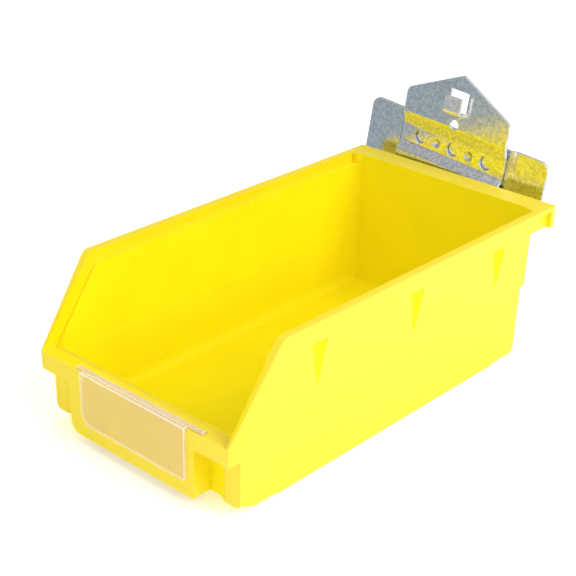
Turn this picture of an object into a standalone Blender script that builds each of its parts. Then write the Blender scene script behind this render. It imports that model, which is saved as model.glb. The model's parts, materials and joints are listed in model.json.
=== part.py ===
"""Hanging parts bin: a moulded tub, a clear label window on its front lip and a two-sheet steel hanger.

Metres, +Z up, +Y towards the hanger. The origin is the middle of the underside of the base foot.
"""
import math

import bmesh
import bpy
from mathutils import Matrix, Vector

# Rim: one path in side view, from the rear edge to the kink and down to the front lip.
RIM_TOP = 0.0660
RIM_REAR = 0.0970
KINK_Y = -0.0700
LIP_FACE = -0.0945
LIP_CORNER_Z = 0.0323
KINK_RADIUS = 0.0040
RIM_HALF_WIDTH = 0.0525
RIM_HALF_WIDTH_AT_LIP = 0.0504
RIM_THICKNESS = 0.0020

# Tub walls: each pair is the value at the top and at the bottom of that part of the wall.
UPPER_HALF_WIDTH = (0.0504, 0.0500)
UPPER_REAR = (0.0890, 0.0874)
LOWER_HALF_WIDTH = (0.0491, 0.0486)
LOWER_REAR = (0.0865, 0.0856)
LOWER_FRONT = -0.0885
OUTER_STEP_Z = 0.0330
WALL_BOTTOM_Z = 0.0012
CORNER_REAR = 0.0070
CORNER_FRONT = 0.0050
BOTTOM_RADIUS = 0.0008

# Front wall below the lip: a little wider than the side walls, with its underside raked up.
FRONT_WALL_FACE = -0.0887
FRONT_WALL_HALF_WIDTH = 0.0503
FRONT_WALL_BOTTOM = 0.0048
FRONT_WALL_REAR = -0.0620
FRONT_WALL_REAR_HALF_WIDTH = 0.0480
FRONT_WALL_ROUND = 0.0026
RAKE_REAR = -0.0780

# Inside of the tub.
CAVITY_HALF_WIDTH = (0.0478, 0.0477)
CAVITY_REAR = (0.0870, 0.0853)
CAVITY_FRONT = -0.0880
WELL_HALF_WIDTH = (0.0472, 0.0465)
WELL_REAR = (0.0851, 0.0840)
WELL_FRONT = (-0.0843, -0.0838)
INNER_STEP_Z = 0.0290
FLOOR_Z = 0.0030
CAVITY_CORNER = 0.0050
FLOOR_RADIUS = 0.0040
LEDGE_HALF_WIDTH = 0.0491
LEDGE_REAR = 0.0855
LEDGE_DEPTH = 0.0048

# Front lip and the block below it that backs the label.
LIP_TOP = 0.0322
LIP_BOTTOM = 0.0247
LIP_HALF_WIDTH = 0.0502
BLOCK_LEFT = -0.0343
BLOCK_RIGHT = 0.0330
BLOCK_BOTTOM = 0.0039
BLOCK_RADIUS = 0.0045
BLOCK_WALL = 0.0020
RECESS_DEPTH = 0.0022

# Base foot.
FOOT_HALF_WIDTH = 0.0483
FOOT_HALF_LENGTH = 0.0705
FOOT_RADIUS = 0.0040

# Rear skirt and the channel behind the rear wall that the hanger hooks into.
SKIRT_FRONT = 0.0945
SKIRT_BOTTOM = 0.0565
CHANNEL_HALF_WIDTH = 0.0482
CHANNEL_NARROW_FRONT = 0.0913
CHANNEL_WIDE_FRONT = 0.0894
CHANNEL_WIDE_TOP = 0.0597

# Scoops pressed into the side walls, three to a side.
SCOOP_Y = (-0.0488, 0.0069, 0.0606)
SCOOP_TOP = 0.0567
SCOOP_BOTTOM = 0.0355
SCOOP_HALF_WIDTH = 0.0043
SCOOP_DEPTH = 0.0021
SCOOP_LEAN = 0.0010
SCOOP_WALL = 0.0009

# Label window: a clear plate, a web let into the lip and a pivot bar that lies in a groove.
PIVOT = (0.0, -0.0929, 0.0322)
PIVOT_RADIUS = 0.0011
GROOVE_RADIUS = 0.0015
BAR_LEFT = -0.0300
BAR_RIGHT = 0.0370
WINDOW_LEFT = -0.0265
WINDOW_RIGHT = 0.0295
WINDOW_BOTTOM = 0.0105
WINDOW_TOP = 0.0323
WINDOW_THICKNESS = 0.0010
WINDOW_GAP = 0.0003

# Hanger, in its own frame: X along the sheet, Y away from the tub, Z up the sheet.
HANGER_ORIGIN = (-0.0063, 0.1012, 0.0660)
HANGER_ROLL = math.radians(5.0)
HANGER_LEAN = math.radians(5.0)
SHEET = 0.0015
BEND_RADIUS = 0.0015
HOOK_HALF_WIDTH = 0.0278
SHOULDER_Z = 0.0293
APEX_Z = 0.0429
HOOK_PATH = (
    (-0.00165, 0.0450),
    (-0.00165, 0.0186),
    (0.00075, 0.0124),
    (0.00075, 0.0037),
    (-0.00195, 0.0004),
    (-0.00195, -0.01400),
    (-0.00765, -0.01400),
    (-0.00765, -0.0060),
)
TAB_PATH = ((-0.0015, 0.0256), (-0.0064, 0.0256), (-0.0058, 0.0336))
TAB_BEND_RADIUS = 0.0014
TAB_HALF_WIDTH = 0.0043
WINDOW_CUT = (-0.0048, 0.0048, 0.0261, 0.0358)
SCREW_HOLE_RADIUS = 0.0033
SCREW_HOLE_Z = 0.0084
SCREW_HOLE_PITCH = 0.0181
PILOT_HOLE_RADIUS = 0.0023
PILOT_HOLE_Z = 0.0202
BACK_LEFT = -0.0498
BACK_RIGHT = 0.0471
BACK_TOP = 0.0173
BACK_BOTTOM = -0.0140
BACK_CORNER = 0.0040
BACK_PATH = (
    (-0.0540, 0.00415),
    (-0.0310, 0.00415),
    (-0.0288, 0.00255),
    (0.0288, 0.00255),
    (0.0310, 0.00415),
    (0.0540, 0.00415),
)

ARC_STEP = math.radians(15.0)
MARGIN = 0.0040

# These map outline axes (u, v) and the outline's thickness w onto X, Y and Z.
SIDE_VIEW = Matrix(((0, 0, 1, 0), (1, 0, 0, 0), (0, 1, 0, 0), (0, 0, 0, 1)))
FRONT_VIEW = Matrix(((1, 0, 0, 0), (0, 0, -1, 0), (0, 1, 0, 0), (0, 0, 0, 1)))
PLAN_VIEW = Matrix.Identity(4)


def rounded(corners):
    """Turn (u, v, radius) corners of a closed outline into points, with an arc at each radius."""
    points = []
    count = len(corners)
    for index, (u, v, radius) in enumerate(corners):
        here = Vector((u, v))
        before = Vector(corners[index - 1][:2]) - here
        after = Vector(corners[(index + 1) % count][:2]) - here
        before.normalize()
        after.normalize()
        opening = before.angle(after)
        if radius == 0.0 or math.pi - opening < 0.01:
            points.append(here)
            continue
        reach = radius / math.tan(opening / 2)
        start = here + before * reach
        end = here + after * reach
        middle = here + (before + after).normalized() * (radius / math.sin(opening / 2))
        first = start - middle
        sweep = first.angle_signed(end - middle)
        steps = max(2, math.ceil(abs(sweep) / ARC_STEP))
        for step in range(steps + 1):
            points.append(middle + Matrix.Rotation(-sweep * step / steps, 2) @ first)
    return points


def band(path, thickness, bend):
    """Outline of a bent sheet: the path widened by half its thickness on each side."""
    left = []
    right = []
    half = thickness / 2
    for index, point in enumerate(path):
        here = Vector(point)
        back = here - Vector(path[index - 1]) if index > 0 else Vector(path[1]) - here
        forth = Vector(path[index + 1]) - here if index < len(path) - 1 else back
        back = back.normalized()
        forth = forth.normalized()
        turn = back.x * forth.y - back.y * forth.x
        normal = Vector((-back.y - forth.y, back.x + forth.x)).normalized()
        reach = half / max(0.2, normal.dot(Vector((-back.y, back.x))))
        inner = bend if abs(turn) > 0.01 else 0.0
        outer = bend + thickness if abs(turn) > 0.01 else 0.0
        left.append((*(here + normal * reach), inner if turn > 0 else outer))
        right.append((*(here - normal * reach), outer if turn > 0 else inner))
    return rounded(left + right[::-1])


def add_object(name, mesh):
    """Put a mesh into the scene as an object."""
    obj = bpy.data.objects.new(name, mesh)
    bpy.context.scene.collection.objects.link(obj)
    return obj


def prism(name, outline, low, high, view):
    """Solid from a closed outline in the given view, from low to high along its thickness."""
    curve = bpy.data.curves.new(name, 'CURVE')
    curve.dimensions = '2D'
    curve.fill_mode = 'BOTH'
    curve.extrude = (high - low) / 2
    spline = curve.splines.new('POLY')
    spline.points.add(len(outline) - 1)
    for spline_point, point in zip(spline.points, outline):
        spline_point.co = (point[0], point[1], 0.0, 1.0)
    spline.use_cyclic_u = True
    source = add_object(name + "_outline", curve)
    source.matrix_world = view @ Matrix.Translation((0.0, 0.0, (low + high) / 2))
    bpy.context.view_layer.update()
    depsgraph = bpy.context.evaluated_depsgraph_get()
    mesh = bpy.data.meshes.new_from_object(source.evaluated_get(depsgraph))
    obj = add_object(name, mesh)
    obj.matrix_world = source.matrix_world
    bpy.data.objects.remove(source, do_unlink=True)
    bm = bmesh.new()
    bm.from_mesh(mesh)
    bmesh.ops.remove_doubles(bm, verts=bm.verts, dist=1e-6)
    bmesh.ops.recalc_face_normals(bm, faces=bm.faces)
    bm.to_mesh(mesh)
    bm.free()
    return obj


def tapered_box(name, half_width, front, rear, low, high, corners, foot):
    """Box with (top, bottom) sizes, rounded upright edges and a rounded bottom edge."""
    bm = bmesh.new()
    bmesh.ops.create_cube(bm, size=2.0)
    for vert in bm.verts:
        end = 0 if vert.co.z > 0 else 1
        vert.co.x *= half_width[end]
        vert.co.y = rear[end] if vert.co.y > 0 else front[end]
        vert.co.z = (high, low)[end]
    for side, radius in zip((-1, 1), corners):
        uprights = []
        for edge in bm.edges:
            a, b = (vert.co for vert in edge.verts)
            if abs(a.z - b.z) > 0.9 * (high - low) and a.y * side > 0:
                uprights.append(edge)
        if radius > 0.0:
            bmesh.ops.bevel(bm, geom=uprights, offset=radius, segments=6, profile=0.5, affect='EDGES')
    if foot > 0.0:
        bottom = [edge for edge in bm.edges if all(vert.co.z < low + 1e-6 for vert in edge.verts)]
        bmesh.ops.bevel(bm, geom=bottom, offset=foot, segments=4, profile=0.5, affect='EDGES')
    mesh = bpy.data.meshes.new(name)
    bm.to_mesh(mesh)
    bm.free()
    return add_object(name, mesh)


def block(name, low, high):
    """Axis-aligned box between two corners."""
    bm = bmesh.new()
    bmesh.ops.create_cube(bm, size=1.0)
    for vert in bm.verts:
        for axis in range(3):
            vert.co[axis] = high[axis] if vert.co[axis] > 0 else low[axis]
    mesh = bpy.data.meshes.new(name)
    bm.to_mesh(mesh)
    bm.free()
    return add_object(name, mesh)


def rod(name, start, end, radius, segments):
    """Cylinder between two points."""
    axis = Vector(end) - Vector(start)
    bm = bmesh.new()
    bmesh.ops.create_cone(bm, cap_ends=True, segments=segments, radius1=radius, radius2=radius,
                          depth=axis.length)
    mesh = bpy.data.meshes.new(name)
    bm.to_mesh(mesh)
    bm.free()
    obj = add_object(name, mesh)
    turn = axis.to_track_quat('Z', 'Y').to_matrix().to_4x4()
    obj.matrix_world = Matrix.Translation((Vector(start) + Vector(end)) / 2) @ turn
    return obj


def scoop(name, side, y, grow):
    """Half-sunk cone that narrows downwards, for one side wall."""
    top = SCOOP_TOP + grow
    bottom = SCOOP_BOTTOM - 3 * grow
    wide = SCOOP_HALF_WIDTH + grow
    deep = SCOOP_DEPTH + grow
    bm = bmesh.new()
    bmesh.ops.create_cone(bm, cap_ends=True, segments=32, radius1=0.0002, radius2=wide, depth=top - bottom)
    for vert in bm.verts:
        if vert.co.z < 0:
            vert.co.y -= SCOOP_LEAN
        vert.co.x *= deep / wide
    mesh = bpy.data.meshes.new(name)
    bm.to_mesh(mesh)
    bm.free()
    obj = add_object(name, mesh)
    obj.location = (side * UPPER_HALF_WIDTH[0], y, (top + bottom) / 2)
    return obj


def combine(target, other, operation):
    """Apply one Boolean to the target and remove the other solid."""
    bpy.context.view_layer.update()
    modifier = target.modifiers.new(operation, 'BOOLEAN')
    modifier.operation = operation
    modifier.solver = 'EXACT'
    modifier.object = other
    depsgraph = bpy.context.evaluated_depsgraph_get()
    mesh = bpy.data.meshes.new_from_object(target.evaluated_get(depsgraph))
    target.modifiers.clear()
    target.data = mesh
    bpy.data.objects.remove(other, do_unlink=True)


def finish_mesh(obj):
    """Weld, face outwards and smooth the round parts of a finished solid."""
    bm = bmesh.new()
    bm.from_mesh(obj.data)
    bmesh.ops.remove_doubles(bm, verts=bm.verts, dist=1e-6)
    bmesh.ops.dissolve_degenerate(bm, dist=1e-6, edges=bm.edges)
    bmesh.ops.recalc_face_normals(bm, faces=bm.faces)
    bm.to_mesh(obj.data)
    bm.free()
    obj.data.shade_smooth()
    obj.data.set_sharp_from_angle(angle=math.radians(35.0))


def rim_corners(drop, rear):
    """Corners of the rim path lowered by a distance square to each run of it."""
    slope = Vector((LIP_FACE - KINK_Y, LIP_CORNER_Z - RIM_TOP)).normalized()
    half_turn = slope.angle(Vector((-1.0, 0.0))) / 2
    kink = Vector((KINK_Y + drop * math.tan(half_turn), RIM_TOP - drop))
    front = Vector((LIP_FACE, LIP_CORNER_Z - drop / -slope.x))
    return (rear, RIM_TOP - drop), tuple(kink), tuple(front)


def rim_plate():
    """Thin flange that runs round the rim, left high so that the trim gives its top."""
    rear, kink, front = rim_corners(RIM_THICKNESS, RIM_REAR)
    upper = rim_corners(-MARGIN, RIM_REAR)
    outline = rounded(((*rear, 0.0), (*kink, KINK_RADIUS), (*front, 0.0), (*upper[2], 0.0),
                       (*upper[1], 0.0), (*upper[0], 0.0)))
    plate = prism("rim_plate", outline, -RIM_HALF_WIDTH, RIM_HALF_WIDTH, SIDE_VIEW)
    for vert in plate.data.vertices:
        if vert.co.x < KINK_Y:
            share = (vert.co.x - KINK_Y) / (LIP_FACE - KINK_Y)
            width = RIM_HALF_WIDTH + share * (RIM_HALF_WIDTH_AT_LIP - RIM_HALF_WIDTH)
            vert.co.z *= width / RIM_HALF_WIDTH
    return plate


def rim_trim():
    """Everything above the rim path."""
    rear, kink, front = rim_corners(0.0, RIM_REAR + MARGIN)
    ceiling = RIM_TOP + 3 * MARGIN
    outline = rounded(((*rear, 0.0), (*kink, KINK_RADIUS), (*front, 0.0),
                       (LIP_FACE - MARGIN, front[1], 0.0), (LIP_FACE - MARGIN, ceiling, 0.0),
                       (rear[0], ceiling, 0.0)))
    return prism("rim_trim", outline, -2 * RIM_HALF_WIDTH, 2 * RIM_HALF_WIDTH, SIDE_VIEW)


def ledge_cutter():
    """Shallow step inside the rim, which follows the rim path and opens over the front lip."""
    rear, kink, front = rim_corners(LEDGE_DEPTH, LEDGE_REAR)
    share = (LIP_TOP - front[1]) / (kink[1] - front[1])
    landing = front[0] + share * (kink[0] - front[0])
    ceiling = RIM_TOP + 2 * MARGIN
    outline = rounded(((*rear, 0.0), (*kink, KINK_RADIUS), (landing, LIP_TOP, 0.0),
                       (LIP_FACE - MARGIN, LIP_TOP, 0.0), (LIP_FACE - MARGIN, ceiling, 0.0),
                       (LEDGE_REAR, ceiling, 0.0)))
    return prism("ledge_cutter", outline, -LEDGE_HALF_WIDTH, LEDGE_HALF_WIDTH, SIDE_VIEW)


def front_wall():
    """Wall below the lip, which narrows towards the rear until it is lost in the side walls."""
    wall = prism("front_wall", rounded((
        (-FRONT_WALL_HALF_WIDTH, FRONT_WALL_BOTTOM, FRONT_WALL_ROUND),
        (FRONT_WALL_HALF_WIDTH, FRONT_WALL_BOTTOM, FRONT_WALL_ROUND),
        (FRONT_WALL_HALF_WIDTH, OUTER_STEP_Z + 0.0005, 0.0),
        (-FRONT_WALL_HALF_WIDTH, OUTER_STEP_Z + 0.0005, 0.0))), -FRONT_WALL_REAR, -FRONT_WALL_FACE, FRONT_VIEW)
    for vert in wall.data.vertices:
        if vert.co.z < 0:
            vert.co.x *= FRONT_WALL_REAR_HALF_WIDTH / FRONT_WALL_HALF_WIDTH
    return wall


def rake_cutter():
    """Wedge below the front of the lower wall."""
    top = FRONT_WALL_BOTTOM + 0.0004
    outline = ((LOWER_FRONT - MARGIN, -MARGIN), (RAKE_REAR, -MARGIN), (RAKE_REAR, WALL_BOTTOM_Z - 0.0001),
               (LOWER_FRONT, top), (LOWER_FRONT - MARGIN, top))
    return prism("rake_cutter", outline, -2 * RIM_HALF_WIDTH, 2 * RIM_HALF_WIDTH, SIDE_VIEW)


def front_recess(side, edge):
    """Concave pocket between the label block and a front corner column."""
    deep = LOWER_FRONT + RECESS_DEPTH
    outside = LIP_FACE - MARGIN
    outline = rounded(((side * edge, outside, 0.0), (side * edge, deep, 0.0),
                       (side * (edge + 0.0045), deep, 0.0040),
                       (side * (edge + 0.0100), FRONT_WALL_FACE - 0.0002, 0.0030),
                       (side * (edge + 0.0140), FRONT_WALL_FACE - 0.0002, 0.0),
                       (side * (edge + 0.0140), outside, 0.0)))
    return prism("front_recess", outline, -MARGIN, LIP_BOTTOM + 0.003, PLAN_VIEW)


def build_shell():
    """Outside of the tub, before the inside is taken out."""
    shell = tapered_box("bin_tub", UPPER_HALF_WIDTH, (LIP_FACE, LIP_FACE), UPPER_REAR,
                        OUTER_STEP_Z, RIM_TOP + MARGIN / 2, (0.0, CORNER_REAR), 0.0)
    lower = tapered_box("lower_wall", LOWER_HALF_WIDTH, (LOWER_FRONT, LOWER_FRONT), LOWER_REAR,
                        WALL_BOTTOM_Z, OUTER_STEP_Z + 0.0010, (CORNER_FRONT, CORNER_REAR), BOTTOM_RADIUS)
    combine(lower, rake_cutter(), 'DIFFERENCE')
    combine(lower, front_wall(), 'UNION')
    combine(lower, front_recess(1, BLOCK_RIGHT), 'DIFFERENCE')
    combine(lower, front_recess(-1, -BLOCK_LEFT), 'DIFFERENCE')
    combine(shell, lower, 'UNION')
    label_block = prism("label_block", rounded((
        (BLOCK_LEFT, BLOCK_BOTTOM, BLOCK_RADIUS), (BLOCK_RIGHT, BLOCK_BOTTOM, 0.0010),
        (BLOCK_RIGHT, 0.0300, 0.0), (BLOCK_LEFT, 0.0300, 0.0))), 0.0830, -LIP_FACE, FRONT_VIEW)
    combine(shell, label_block, 'UNION')
    lip = block("lip", (-LIP_HALF_WIDTH, LIP_FACE, LIP_BOTTOM), (LIP_HALF_WIDTH, -0.0840, 0.0350))
    combine(shell, lip, 'UNION')
    foot = tapered_box("foot", (FOOT_HALF_WIDTH, FOOT_HALF_WIDTH - 0.0006),
                       (-FOOT_HALF_LENGTH, -FOOT_HALF_LENGTH + 0.0006),
                       (FOOT_HALF_LENGTH, FOOT_HALF_LENGTH - 0.0006),
                       0.0, WALL_BOTTOM_Z + 0.0010, (FOOT_RADIUS, FOOT_RADIUS), 0.0)
    combine(shell, foot, 'UNION')
    combine(shell, rim_plate(), 'UNION')
    closure = block("closure", (-UPPER_HALF_WIDTH[0], 0.0800, SKIRT_BOTTOM),
                    (UPPER_HALF_WIDTH[0], SKIRT_FRONT + 0.0010, RIM_TOP - 0.0005))
    combine(shell, closure, 'UNION')
    skirt = block("skirt", (-RIM_HALF_WIDTH, SKIRT_FRONT, SKIRT_BOTTOM),
                  (RIM_HALF_WIDTH, RIM_REAR, RIM_TOP + MARGIN / 2))
    combine(shell, skirt, 'UNION')
    combine(shell, rim_trim(), 'DIFFERENCE')
    return shell


def build_tub():
    """The moulded tub."""
    tub = build_shell()
    cavity = tapered_box("cavity", CAVITY_HALF_WIDTH, (CAVITY_FRONT, CAVITY_FRONT), CAVITY_REAR,
                         INNER_STEP_Z, RIM_TOP + 2 * MARGIN, (CAVITY_CORNER, CAVITY_CORNER), 0.0)
    well = tapered_box("well", WELL_HALF_WIDTH, WELL_FRONT, WELL_REAR, FLOOR_Z,
                       INNER_STEP_Z + 0.0010, (CAVITY_CORNER, CAVITY_CORNER), FLOOR_RADIUS)
    combine(cavity, well, 'UNION')
    for side in (-1, 1):
        for y in SCOOP_Y:
            combine(cavity, scoop("bump", side, y, SCOOP_WALL), 'DIFFERENCE')
    combine(tub, cavity, 'DIFFERENCE')
    combine(tub, ledge_cutter(), 'DIFFERENCE')
    channel = prism("channel", (
        (SKIRT_FRONT, SKIRT_BOTTOM - MARGIN), (SKIRT_FRONT, RIM_TOP - RIM_THICKNESS),
        (CHANNEL_NARROW_FRONT, RIM_TOP - RIM_THICKNESS), (CHANNEL_NARROW_FRONT, CHANNEL_WIDE_TOP + 0.0010),
        (CHANNEL_WIDE_FRONT, CHANNEL_WIDE_TOP - 0.0010), (CHANNEL_WIDE_FRONT, SKIRT_BOTTOM - MARGIN)),
        -CHANNEL_HALF_WIDTH, CHANNEL_HALF_WIDTH, SIDE_VIEW)
    combine(tub, channel, 'DIFFERENCE')
    for side in (-1, 1):
        for y in SCOOP_Y:
            combine(tub, scoop("scoop", side, y, 0.0), 'DIFFERENCE')
    core = block("core", (BLOCK_LEFT + BLOCK_WALL + 0.0010, LIP_FACE + BLOCK_WALL, 0.0),
                 (BLOCK_RIGHT - BLOCK_WALL, LOWER_FRONT + RECESS_DEPTH / 2, LIP_BOTTOM))
    combine(tub, core, 'DIFFERENCE')
    groove = rod("groove", (BAR_LEFT - WINDOW_GAP, PIVOT[1], PIVOT[2]),
                 (BAR_RIGHT + WINDOW_GAP, PIVOT[1], PIVOT[2]), GROOVE_RADIUS, 24)
    combine(tub, groove, 'DIFFERENCE')
    web_floor = WINDOW_TOP - WINDOW_THICKNESS - WINDOW_GAP
    web_seat = block("web_seat", (WINDOW_LEFT - WINDOW_GAP, LIP_FACE - MARGIN, web_floor),
                     (WINDOW_RIGHT + WINDOW_GAP, PIVOT[1], LIP_TOP + MARGIN))
    combine(tub, web_seat, 'DIFFERENCE')
    return tub


def build_window():
    """Clear label window with its pivot bar, origin on the pivot."""
    front = LIP_FACE - WINDOW_GAP - WINDOW_THICKNESS
    window = prism("label_window", rounded((
        (WINDOW_LEFT, WINDOW_BOTTOM, 0.0045), (WINDOW_RIGHT, WINDOW_BOTTOM, 0.0015),
        (WINDOW_RIGHT, WINDOW_TOP, 0.0), (WINDOW_LEFT, WINDOW_TOP, 0.0))),
        -front - WINDOW_THICKNESS, -front, FRONT_VIEW)
    web = block("web", (WINDOW_LEFT, front, WINDOW_TOP - WINDOW_THICKNESS),
                (WINDOW_RIGHT, PIVOT[1], WINDOW_TOP))
    combine(window, web, 'UNION')
    bar = rod("bar", (BAR_LEFT, PIVOT[1], PIVOT[2]), (BAR_RIGHT, PIVOT[1], PIVOT[2]), PIVOT_RADIUS, 24)
    combine(window, bar, 'UNION')
    window.data.transform(Matrix.Translation(-Vector(PIVOT)) @ window.matrix_world)
    window.matrix_world = Matrix.Translation(PIVOT)
    return window


def build_hook_plate():
    """Front sheet of the hanger: house-shaped top, lanced tab, holes and the hook at its foot."""
    plate = prism("hook_plate", band(HOOK_PATH, SHEET, BEND_RADIUS),
                  -2 * HOOK_HALF_WIDTH, 2 * HOOK_HALF_WIDTH, SIDE_VIEW)
    house = prism("house", rounded((
        (-HOOK_HALF_WIDTH, -0.0200, 0.0), (HOOK_HALF_WIDTH, -0.0200, 0.0),
        (HOOK_HALF_WIDTH, SHOULDER_Z, 0.0035), (0.0, APEX_Z, 0.0020),
        (-HOOK_HALF_WIDTH, SHOULDER_Z, 0.0035))), -0.0200, 0.0200, FRONT_VIEW)
    combine(plate, house, 'INTERSECT')
    left, right, low, high = WINDOW_CUT
    combine(plate, block("window_cut", (left, -0.0100, low), (right, 0.0100, high)), 'DIFFERENCE')
    tab = prism("tab", band(TAB_PATH, SHEET, TAB_BEND_RADIUS), -TAB_HALF_WIDTH, TAB_HALF_WIDTH, SIDE_VIEW)
    combine(plate, tab, 'UNION')
    for x in (-SCREW_HOLE_PITCH, 0.0, SCREW_HOLE_PITCH):
        hole = rod("hole", (x, -0.0015, SCREW_HOLE_Z), (x, 0.0060, SCREW_HOLE_Z), SCREW_HOLE_RADIUS, 28)
        combine(plate, hole, 'DIFFERENCE')
    pilot = rod("pilot", (0.0, -0.0100, PILOT_HOLE_Z), (0.0, 0.0060, PILOT_HOLE_Z), PILOT_HOLE_RADIUS, 24)
    combine(plate, pilot, 'DIFFERENCE')
    return plate


def build_back_plate():
    """Rear sheet of the hanger, spot welded behind the hook plate, with a wing on each side."""
    plate = prism("back_plate", band(BACK_PATH, SHEET, BEND_RADIUS), -0.0300, 0.0300, PLAN_VIEW)
    outline = prism("outline", rounded((
        (BACK_LEFT, BACK_BOTTOM, BACK_CORNER), (BACK_RIGHT, BACK_BOTTOM, BACK_CORNER),
        (BACK_RIGHT, BACK_TOP, BACK_CORNER), (BACK_LEFT, BACK_TOP, BACK_CORNER))),
        -0.0200, 0.0200, FRONT_VIEW)
    combine(plate, outline, 'INTERSECT')
    return plate


def material(name, color, metallic, roughness, alpha):
    """Plain Principled material."""
    made = bpy.data.materials.new(name)
    made.use_nodes = True
    shader = made.node_tree.nodes["Principled BSDF"]
    shader.inputs["Base Color"].default_value = (*color, 1.0)
    shader.inputs["Metallic"].default_value = metallic
    shader.inputs["Roughness"].default_value = roughness
    shader.inputs["Alpha"].default_value = alpha
    return made


def main():
    for obj in list(bpy.data.objects):
        bpy.data.objects.remove(obj, do_unlink=True)
    collection = bpy.data.collections.new("hanging_parts_bin")
    bpy.context.scene.collection.children.link(collection)

    hanger = bpy.data.objects.new("hanger", None)
    bpy.context.scene.collection.objects.link(hanger)
    hanger.matrix_world = (Matrix.Translation(HANGER_ORIGIN) @ Matrix.Rotation(-HANGER_LEAN, 4, 'X')
                           @ Matrix.Rotation(HANGER_ROLL, 4, 'Y'))

    yellow = material("yellow_plastic", (0.93, 0.77, 0.01), 0.0, 0.4, 1.0)
    clear = material("clear_plastic", (0.95, 0.90, 0.85), 0.0, 0.1, 0.4)
    steel = material("zinc_steel", (0.62, 0.64, 0.67), 1.0, 0.35, 1.0)
    parts = ((build_tub(), yellow, None), (build_window(), clear, None),
             (build_hook_plate(), steel, hanger), (build_back_plate(), steel, hanger))
    bpy.context.view_layer.update()
    for obj, surface, parent in parts:
        finish_mesh(obj)
        obj.data.materials.clear()
        obj.data.materials.append(surface)
        if parent:
            obj.data.transform(obj.matrix_world)
            obj.matrix_basis = Matrix.Identity(4)
            obj.parent = parent
    for obj in [hanger] + [part[0] for part in parts]:
        bpy.context.scene.collection.objects.unlink(obj)
        collection.objects.link(obj)
    bpy.context.view_layer.update()


main()
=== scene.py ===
"""Looks, light and camera for the hanging parts bin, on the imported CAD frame."""
import json
import math

import bpy
from mathutils import Matrix, Vector

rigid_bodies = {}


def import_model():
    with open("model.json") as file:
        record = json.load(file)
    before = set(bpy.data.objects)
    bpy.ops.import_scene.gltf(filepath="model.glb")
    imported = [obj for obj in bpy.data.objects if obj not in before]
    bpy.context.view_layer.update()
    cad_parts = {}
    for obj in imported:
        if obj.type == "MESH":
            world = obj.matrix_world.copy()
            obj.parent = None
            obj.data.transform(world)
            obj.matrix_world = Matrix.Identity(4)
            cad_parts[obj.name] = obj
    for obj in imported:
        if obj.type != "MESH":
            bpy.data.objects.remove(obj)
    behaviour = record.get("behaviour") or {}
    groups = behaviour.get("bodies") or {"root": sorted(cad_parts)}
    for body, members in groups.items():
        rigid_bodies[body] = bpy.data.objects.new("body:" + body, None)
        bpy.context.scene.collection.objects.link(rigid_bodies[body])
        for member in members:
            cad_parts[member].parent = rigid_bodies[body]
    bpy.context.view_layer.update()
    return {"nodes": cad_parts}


# Camera: where it stands in the row frame, how it is turned in degrees, and its lens in millimetres.
CAMERA_PLACE = (0.3269, -0.3714, 0.2831)
CAMERA_AZIMUTH = 42.19
CAMERA_ELEVATION = 25.88
CAMERA_ROLL = 1.08
CAMERA_LENS = 85.64
SENSOR_WIDTH = 36.0

# Square area lights, all aimed at one point: place, side, power and colour of each.
LIGHT_TARGET = (0.0, 0.0, 0.03)
KEY_LIGHT = ((0.9, 0.12, 0.68), 0.7, 8.6, (1.0, 0.99, 0.97))
TOP_LIGHT = ((-0.1, 0.1, 1.2), 1.2, 2.5, (1.0, 1.0, 1.0))
FILL_LIGHT = ((-0.35, -1.0, 0.45), 0.9, 2.0, (1.0, 0.98, 0.97))

# World: its strength for most rays, and for mirror rays its strength at each end of a ramp along X.
WORLD_STRENGTH = 0.60
MIRRORED_WORLD_X = (-0.6, 0.4)
MIRRORED_WORLD_STRENGTH = (0.38, 0.90)

# Floor: its two tones and its glow, and what mirror rays see at each end of a ramp along X.
FLOOR_SIZE = 6.0
FLOOR_Z = -0.0002
FLOOR_TONES = ((0.93, 0.93, 0.93), (0.95, 0.95, 0.95))
FLOOR_GLOW = 0.34
MIRRORED_FLOOR_X = (-0.05, 0.30)
MIRRORED_FLOOR_TONES = ((0.34, 0.40, 0.43), (1.0, 1.0, 1.0))
MIRRORED_FLOOR_GLOW = 0.5

# Limits of the inside of the tub, and of the scoops pressed into its side walls, where painted light and
# painted shade go.
INSIDE_HALF_WIDTH = 0.0480
INSIDE_Y = (-0.0882, 0.0876)
INSIDE_Z = (0.0028, 0.0658)
SCOOP_DEPTH = (0.0482, 0.0499)
SCOOP_Z = (0.0344, 0.0577)
MASK_RAMP = 0.0001

# Yellow plastic: pairs of tones that cloud into each other, the inside pair painted lighter and greener
# as painted light on the inner walls and floor, then its specks and its rubbed edges, partly painted
# highlight.
YELLOW_OUTSIDE = ((0.905, 0.710, 0.004), (0.940, 0.745, 0.006))
YELLOW_INSIDE_PAINTED_LIGHT = ((0.905, 0.775, 0.004), (0.940, 0.810, 0.006))
YELLOW_SPECK = (0.80, 0.60, 0.006)
YELLOW_RUBBED_AND_HIGHLIGHT = (0.96, 0.82, 0.12)

# Clear plastic: its faint milk, its pivot bar, its edges painted white as painted highlight, and the
# heights between which the bar begins.
WINDOW_MILK = ((0.98, 0.76, 0.56), (0.97, 0.73, 0.50))
WINDOW_BAR = (1.0, 0.92, 0.82)
WINDOW_EDGE_HIGHLIGHT = (1.0, 1.0, 0.98)
BAR_Z = (0.0318, 0.0324)

# Zinc: the range of its crystals, its clouds, and its edges, worn and partly painted highlight.
ZINC_CRYSTALS = ((0.62, 0.66, 0.71), (0.93, 0.95, 0.98))
ZINC_CLOUD = (0.78, 0.81, 0.85)
ZINC_EDGE_WEAR_AND_HIGHLIGHT = (0.97, 0.98, 0.99)

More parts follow.
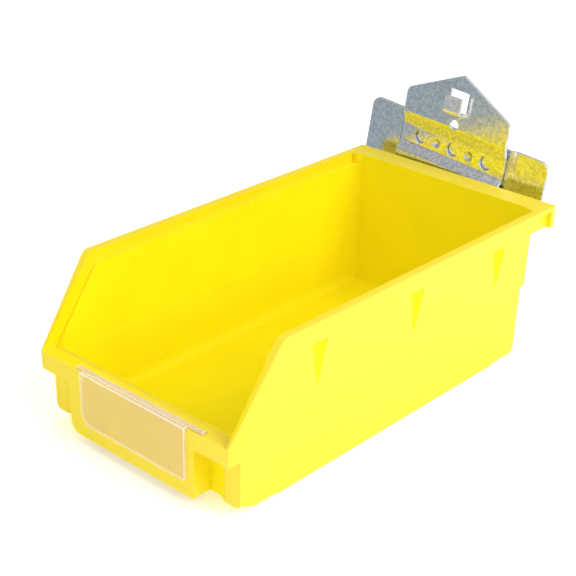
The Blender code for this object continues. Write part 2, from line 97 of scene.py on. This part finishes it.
# Hanger frame, as the CAD has it: X along the sheet, Y away from the tub, Z up the sheet.
HANGER_ORIGIN = (-0.0063, 0.1012, 0.0660)
HANGER_ROLL = 5.0
HANGER_LEAN = 5.0
WELD_PLACES = ((-0.0090, 0.0, 0.0084), (0.0090, 0.0, 0.0084))
WELD_RADIUS = 0.0019
# Middle and reach of the tab's painted highlight.
TAB_PLACE = (0.0, -0.0095, 0.0300)
TAB_REACH = 0.0068

# Small round on the sharp edges of the CAD nodes, by node.
EDGE_ROUND = {"bin_tub": 0.0004, "label_window": 0.0002, "hook_plate": 0.0003, "back_plate": 0.0003}
SHARP_ANGLE = math.radians(40.0)
WELD_DISTANCE = 0.000005


class Nodes:
    """Short way to build a material's node tree. Lengths are in metres, scales in cells a metre."""

    def __init__(self, name):
        self.material = bpy.data.materials.new(name)
        self.material.use_nodes = True
        self.tree = self.material.node_tree
        self.shader = self.tree.nodes["Principled BSDF"]
        coordinates = self.add("ShaderNodeTexCoord")
        self.place = coordinates.outputs["Object"]

    def add(self, kind, **settings):
        node = self.tree.nodes.new(kind)
        for key, value in settings.items():
            setattr(node, key, value)
        return node

    def link(self, output, target):
        self.tree.links.new(output, target)

    def set(self, name, value):
        """Give a socket of the shader a constant or a link."""
        socket = self.shader.inputs[name]
        if isinstance(value, bpy.types.NodeSocket):
            self.link(value, socket)
        else:
            socket.default_value = value

    def axes(self):
        """The place split into X, Y and Z."""
        node = self.add("ShaderNodeSeparateXYZ")
        self.link(self.place, node.inputs["Vector"])
        return node.outputs

    def noise(self, scale, detail, roughness=0.5):
        node = self.add("ShaderNodeTexNoise")
        node.inputs["Scale"].default_value = scale
        node.inputs["Detail"].default_value = detail
        node.inputs["Roughness"].default_value = roughness
        self.link(self.place, node.inputs["Vector"])
        return node.outputs["Fac"]

    def cells(self, scale):
        """A random colour for each cell."""
        node = self.add("ShaderNodeTexVoronoi")
        node.inputs["Scale"].default_value = scale
        self.link(self.place, node.inputs["Vector"])
        return node.outputs["Color"]

    def split_cells(self, scale):
        """Three random values for each cell."""
        node = self.add("ShaderNodeSeparateColor")
        self.link(self.cells(scale), node.inputs["Color"])
        return node.outputs

    def remap(self, value, low, high, start=0.0, end=1.0):
        """Ramp from low at the start to high at the end, flat beyond both."""
        node = self.add("ShaderNodeMapRange")
        node.inputs["From Min"].default_value = start
        node.inputs["From Max"].default_value = end
        node.inputs["To Min"].default_value = low
        node.inputs["To Max"].default_value = high
        self.link(value, node.inputs["Value"])
        return node.outputs["Result"]

    def mix_color(self, factor, first, second):
        """Mix two colours, each a tuple or an output. Sockets 6 and 7 are the node's colour inputs."""
        node = self.add("ShaderNodeMix", data_type='RGBA')
        self.link(factor, node.inputs["Factor"])
        for socket, color in ((node.inputs[6], first), (node.inputs[7], second)):
            if isinstance(color, tuple):
                socket.default_value = (*color, 1.0)
            else:
                self.link(color, socket)
        return node.outputs[2]

    def math(self, operation, first, second):
        node = self.add("ShaderNodeMath", operation=operation)
        for socket, value in zip(node.inputs, (first, second)):
            if isinstance(value, float):
                socket.default_value = value
            else:
                self.link(value, socket)
        return node.outputs[0]

    def band(self, value, low, high):
        """1 where the value lies between two limits, with a short ramp at each."""
        above = self.remap(value, 0.0, 1.0, low - MASK_RAMP, low + MASK_RAMP)
        below = self.remap(value, 1.0, 0.0, high - MASK_RAMP, high + MASK_RAMP)
        return self.math('MULTIPLY', above, below)

    def edge_mask(self, radius):
        """1 on an edge and 0 on a flat face, from how far rounding would turn the surface."""
        rounding = self.add("ShaderNodeBevel", samples=6)
        rounding.inputs["Radius"].default_value = radius
        geometry = self.add("ShaderNodeNewGeometry")
        dot = self.add("ShaderNodeVectorMath", operation='DOT_PRODUCT')
        self.link(rounding.outputs["Normal"], dot.inputs[0])
        self.link(geometry.outputs["Normal"], dot.inputs[1])
        return self.remap(dot.outputs["Value"], 1.0, 0.0, 0.75, 1.0)

    def spot(self, place, outer, inner):
        """1 within the inner distance of a place, 0 beyond the outer one, smooth between."""
        distance = self.add("ShaderNodeVectorMath", operation='DISTANCE')
        self.link(self.place, distance.inputs[0])
        distance.inputs[1].default_value = place
        node = self.add("ShaderNodeMapRange", interpolation_type='SMOOTHSTEP')
        node.inputs["From Min"].default_value = outer
        node.inputs["From Max"].default_value = inner
        self.link(distance.outputs["Value"], node.inputs["Value"])
        return node.outputs["Result"]

    def bump(self, height, strength, distance, under=None):
        """Normal from a height, on top of the normal under it."""
        node = self.add("ShaderNodeBump")
        node.inputs["Strength"].default_value = strength
        node.inputs["Distance"].default_value = distance
        self.link(height, node.inputs["Height"])
        if under is not None:
            self.link(under, node.inputs["Normal"])
        return node.outputs["Normal"]

    def facets(self, scale, tilt):
        """Normal tipped at random from grain to grain."""
        centred = self.add("ShaderNodeVectorMath", operation='SUBTRACT')
        self.link(self.cells(scale), centred.inputs[0])
        centred.inputs[1].default_value = (0.5, 0.5, 0.5)
        scaled = self.add("ShaderNodeVectorMath", operation='SCALE')
        self.link(centred.outputs["Vector"], scaled.inputs[0])
        scaled.inputs["Scale"].default_value = tilt
        geometry = self.add("ShaderNodeNewGeometry")
        added = self.add("ShaderNodeVectorMath", operation='ADD')
        self.link(scaled.outputs["Vector"], added.inputs[0])
        self.link(geometry.outputs["Normal"], added.inputs[1])
        unit = self.add("ShaderNodeVectorMath", operation='NORMALIZE')
        self.link(added.outputs["Vector"], unit.inputs[0])
        return unit.outputs["Vector"]

    def scratches(self, stretch, scale, detail):
        """Noise drawn out unequally along X, Y and Z."""
        mapping = self.add("ShaderNodeMapping")
        mapping.inputs["Scale"].default_value = stretch
        self.link(self.place, mapping.inputs["Vector"])
        node = self.add("ShaderNodeTexNoise")
        node.inputs["Scale"].default_value = scale
        node.inputs["Detail"].default_value = detail
        self.link(mapping.outputs["Vector"], node.inputs["Vector"])
        return node.outputs["Fac"]


def tub_masks(made):
    """Masks for the inside of the tub and for the scoops of its side walls, where painted light and
    painted shade go.
    """
    axes = made.axes()
    across = made.band(axes["X"], -INSIDE_HALF_WIDTH, INSIDE_HALF_WIDTH)
    along = made.band(axes["Y"], *INSIDE_Y)
    up = made.band(axes["Z"], *INSIDE_Z)
    inside = made.math('MULTIPLY', across, made.math('MULTIPLY', along, up))
    depth = made.math('ABSOLUTE', axes["X"], 0.0)
    scoops = made.math('MULTIPLY', made.band(depth, *SCOOP_DEPTH), made.band(axes["Z"], *SCOOP_Z))
    return inside, scoops


def yellow_plastic():
    """Moulded polypropylene: satin, slightly translucent, with a fine grain, rubbed edges that are partly
    painted highlight, painted light inside the tub and painted shade in its scoops.
    """
    made = Nodes("yellow_moulded_plastic")
    inside, scoops = tub_masks(made)
    cloud = made.remap(made.noise(45.0, 3.0), 0.0, 1.0, 0.3, 0.7)
    outer = made.mix_color(cloud, *YELLOW_OUTSIDE)
    inner = made.mix_color(cloud, *YELLOW_INSIDE_PAINTED_LIGHT)
    # Painted light: inside the tub the tone is painted lighter and greener, standing in for light falling
    # on the inner walls and floor.
    tone = made.mix_color(inside, outer, inner)
    speck = made.remap(made.noise(1400.0, 2.0), 0.0, 0.12, 0.62, 0.8)
    tone = made.mix_color(speck, tone, YELLOW_SPECK)
    # Painted highlight, partly rubbed wear: edges are painted lighter in patches, standing in for the
    # bright lines that light draws along them.
    edge = made.edge_mask(0.0006)
    patchy = made.remap(made.noise(260.0, 4.0), 0.0, 0.35, 0.4, 0.7)
    rubbed_and_highlight = made.math('MULTIPLY', made.math('MULTIPLY', edge, patchy), 0.4)
    made.set("Base Color", made.mix_color(rubbed_and_highlight, tone, YELLOW_RUBBED_AND_HIGHLIGHT))
    smear = made.remap(made.noise(120.0, 5.0, 0.6), 0.30, 0.42, 0.2, 0.8)
    made.set("Roughness", made.math('ADD', smear, made.remap(inside, 0.0, 0.2)))
    # Painted shade: the sheen is turned down inside the tub and in the scoops, so these read darker and
    # deeper yellow, as if shaded.
    sheen_cut_for_shade = made.math('MAXIMUM', inside, scoops)
    made.set("Specular IOR Level", made.remap(sheen_cut_for_shade, 0.85, 0.12))
    made.set("Subsurface Weight", 0.08)
    made.set("Subsurface Radius", (0.0030, 0.0024, 0.0003))
    made.set("Subsurface Scale", 1.0)
    grain = made.bump(made.noise(2600.0, 2.0), 0.08, 0.00008)
    made.set("Normal", made.bump(made.noise(70.0, 2.0), 0.10, 0.0006, grain))
    return made.material


def clear_plastic():
    """Clear moulded window, faintly milky, painted brighter and more opaque along its edges as painted
    highlight, with fine scratches.
    """
    made = Nodes("clear_window_plastic")
    haze = made.remap(made.noise(60.0, 3.0), 0.0, 1.0, 0.3, 0.75)
    milk = made.mix_color(haze, *WINDOW_MILK)
    # Painted highlight: the edges are painted white, less see-through and more opaque.
    edge = made.edge_mask(0.0009)
    bar = made.remap(made.axes()["Z"], 0.0, 1.0, *BAR_Z)
    milk = made.mix_color(bar, milk, WINDOW_BAR)
    made.set("Base Color", made.mix_color(edge, milk, WINDOW_EDGE_HIGHLIGHT))
    made.set("Roughness", made.remap(made.noise(420.0, 5.0, 0.7), 0.05, 0.16, 0.3, 0.8))
    made.set("IOR", 1.47)
    made.set("Transmission Weight", made.remap(edge, 0.45, 0.0))
    body = made.math('ADD', made.remap(haze, 0.20, 0.26), made.math('MULTIPLY', bar, 0.40))
    made.set("Alpha", made.math('ADD', body, made.remap(edge, 0.0, 0.75)))
    made.set("Normal", made.bump(made.scratches((40.0, 1.0, 900.0), 3.0, 3.0), 0.02, 0.00003))
    return made.material


def hanger_matrix():
    """Where the hanger frame stands in the row frame."""
    lean = Matrix.Rotation(-math.radians(HANGER_LEAN), 4, 'X')
    roll = Matrix.Rotation(math.radians(HANGER_ROLL), 4, 'Y')
    return Matrix.Translation(HANGER_ORIGIN) @ lean @ roll


def zinc_steel(name, front):
    """Galvanised sheet in crystals of several greys, its edges worn and partly painted highlight. The
    front sheet has a tab painted lighter as painted highlight, and two welds.
    """
    made = Nodes(name)
    coarse = made.split_cells(900.0)
    fine = made.split_cells(2600.0)
    shade = made.math('ADD', made.math('MULTIPLY', coarse[0], 0.55), made.math('MULTIPLY', fine[0], 0.45))
    tone = made.mix_color(made.remap(shade, 0.0, 1.0, 0.2, 0.8), *ZINC_CRYSTALS)
    cloud = made.remap(made.noise(90.0, 3.0), 0.0, 0.35, 0.4, 0.8)
    tone = made.mix_color(made.math('MULTIPLY', cloud, 0.5), tone, ZINC_CLOUD)
    # Painted highlight, partly wear: edges are painted near white and made less metallic, so they read as
    # bright rims.
    edge = made.edge_mask(0.0006)
    made.set("Base Color", made.mix_color(edge, tone, ZINC_EDGE_WEAR_AND_HIGHLIGHT))
    made.set("Roughness", made.remap(coarse[1], 0.13, 0.24))
    highlight_and_wear = edge
    normal = made.bump(made.noise(1800.0, 2.0), 0.04, 0.00004, made.facets(4200.0, 0.05))
    if front:
        hanger = hanger_matrix()
        # Painted highlight: the tab is made less metallic so it reads lighter, standing in for how light
        # falls on it.
        tab_painted_light = made.spot(hanger @ Vector(TAB_PLACE), TAB_REACH, TAB_REACH * 0.8)
        highlight_and_wear = made.math('MAXIMUM', edge, made.math('MULTIPLY', tab_painted_light, 0.5))
        for place in WELD_PLACES:
            dish = made.spot(hanger @ Vector(place), WELD_RADIUS * 1.3, WELD_RADIUS * 0.35)
            normal = made.bump(made.remap(dish, 1.0, 0.0), 1.0, 0.0006, normal)
    made.set("Metallic", made.remap(highlight_and_wear, 1.0, 0.45))
    made.set("Normal", normal)
    return made.material


def pale_floor():
    """Pale floor with a faint glow. To mirror rays it is dark at low X and bright at high X."""
    made = Nodes("pale_floor")
    pale = made.mix_color(made.noise(3.0, 2.0), *FLOOR_TONES)
    side = made.remap(made.axes()["X"], 0.0, 1.0, *MIRRORED_FLOOR_X)
    mirrored = made.mix_color(side, *MIRRORED_FLOOR_TONES)
    path = made.add("ShaderNodeLightPath")
    mirror = path.outputs["Is Glossy Ray"]
    made.set("Base Color", made.mix_color(mirror, pale, mirrored))
    made.set("Emission Color", (1.0, 1.0, 1.0, 1.0))
    seen_glow = made.remap(mirror, FLOOR_GLOW, 0.0)
    mirrored_glow = made.math('MULTIPLY', mirror, made.math('MULTIPLY', side, MIRRORED_FLOOR_GLOW))
    made.set("Emission Strength", made.math('MAXIMUM', seen_glow, mirrored_glow))
    made.set("Roughness", 0.9)
    return made.material


def soft_world():
    """Even white surroundings. To mirror rays they are darker at low X and brighter at high X."""
    world = bpy.data.worlds.new("studio")
    world.use_nodes = True
    tree = world.node_tree
    background = tree.nodes["Background"]
    background.inputs["Color"].default_value = (1.0, 1.0, 1.0, 1.0)
    direction = tree.nodes.new("ShaderNodeTexCoord")
    axes = tree.nodes.new("ShaderNodeSeparateXYZ")
    tree.links.new(direction.outputs["Generated"], axes.inputs["Vector"])
    mirrored = tree.nodes.new("ShaderNodeMapRange")
    mirrored.inputs["From Min"].default_value = MIRRORED_WORLD_X[0]
    mirrored.inputs["From Max"].default_value = MIRRORED_WORLD_X[1]
    mirrored.inputs["To Min"].default_value = MIRRORED_WORLD_STRENGTH[0]
    mirrored.inputs["To Max"].default_value = MIRRORED_WORLD_STRENGTH[1]
    tree.links.new(axes.outputs["X"], mirrored.inputs["Value"])
    path = tree.nodes.new("ShaderNodeLightPath")
    pick = tree.nodes.new("ShaderNodeMapRange")
    pick.inputs["To Min"].default_value = WORLD_STRENGTH
    tree.links.new(path.outputs["Is Glossy Ray"], pick.inputs["Value"])
    tree.links.new(mirrored.outputs["Result"], pick.inputs["To Max"])
    tree.links.new(pick.outputs["Result"], background.inputs["Strength"])
    bpy.context.scene.world = world


def dress(obj, material, width):
    """Give a CAD node its material, and a small round on its sharp edges."""
    obj.data.materials.clear()
    obj.data.materials.append(material)
    weld = obj.modifiers.new("weld", 'WELD')
    weld.merge_threshold = WELD_DISTANCE
    bevel = obj.modifiers.new("edge_round", 'BEVEL')
    bevel.width = width
    bevel.segments = 2
    bevel.limit_method = 'ANGLE'
    bevel.angle_limit = SHARP_ANGLE
    flat = obj.modifiers.new("flat_faces", 'WEIGHTED_NORMAL')
    flat.weight = 100
    flat.keep_sharp = True


def area_light(name, place, side, power, color):
    """Square light aimed at the object."""
    data = bpy.data.lights.new(name, 'AREA')
    data.shape = 'RECTANGLE'
    data.size = side
    data.size_y = side
    data.energy = power
    data.color = color
    light = bpy.data.objects.new(name, data)
    bpy.context.scene.collection.objects.link(light)
    aim = Vector(LIGHT_TARGET) - Vector(place)
    turn = aim.to_track_quat('-Z', 'Y').to_matrix().to_4x4()
    light.matrix_world = Matrix.Translation(place) @ turn
    return light


def add_camera():
    """Camera at the azimuth, elevation and roll above."""
    data = bpy.data.cameras.new("camera")
    data.lens = CAMERA_LENS
    data.sensor_width = SENSOR_WIDTH
    azimuth = math.radians(CAMERA_AZIMUTH)
    elevation = math.radians(CAMERA_ELEVATION)
    roll = math.radians(CAMERA_ROLL)
    level = math.cos(elevation)
    forward = Vector((-math.sin(azimuth) * level, math.cos(azimuth) * level, -math.sin(elevation)))
    right = Vector((math.cos(azimuth), math.sin(azimuth), 0.0))
    up = right.cross(forward)
    side = right * math.cos(roll) + up * math.sin(roll)
    top = up * math.cos(roll) - right * math.sin(roll)
    turn = Matrix((side, top, -forward)).transposed().to_4x4()
    camera = bpy.data.objects.new("camera", data)
    bpy.context.scene.collection.objects.link(camera)
    camera.matrix_world = Matrix.Translation(CAMERA_PLACE) @ turn
    bpy.context.scene.camera = camera


def add_stage():
    """Floor, world and lights."""
    bpy.ops.mesh.primitive_plane_add(size=FLOOR_SIZE, location=(0.0, 0.0, FLOOR_Z))
    floor = bpy.context.active_object
    floor.name = "floor"
    floor.data.materials.append(pale_floor())
    soft_world()
    area_light("key", *KEY_LIGHT)
    area_light("top", *TOP_LIGHT)
    fill = area_light("fill", *FILL_LIGHT)
    fill.visible_glossy = False


def main():
    """Load the frame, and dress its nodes."""
    for obj in list(bpy.data.objects):
        bpy.data.objects.remove(obj, do_unlink=True)
    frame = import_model()
    bpy.context.scene.view_settings.view_transform = 'Standard'

    add_camera()
    add_stage()
    materials = {
        "bin_tub": yellow_plastic(),
        "label_window": clear_plastic(),
        "hook_plate": zinc_steel("zinc_steel_welded", True),
        "back_plate": zinc_steel("zinc_steel", False),
    }
    for node, material in materials.items():
        dress(frame["nodes"][node], material, EDGE_ROUND[node])


main()
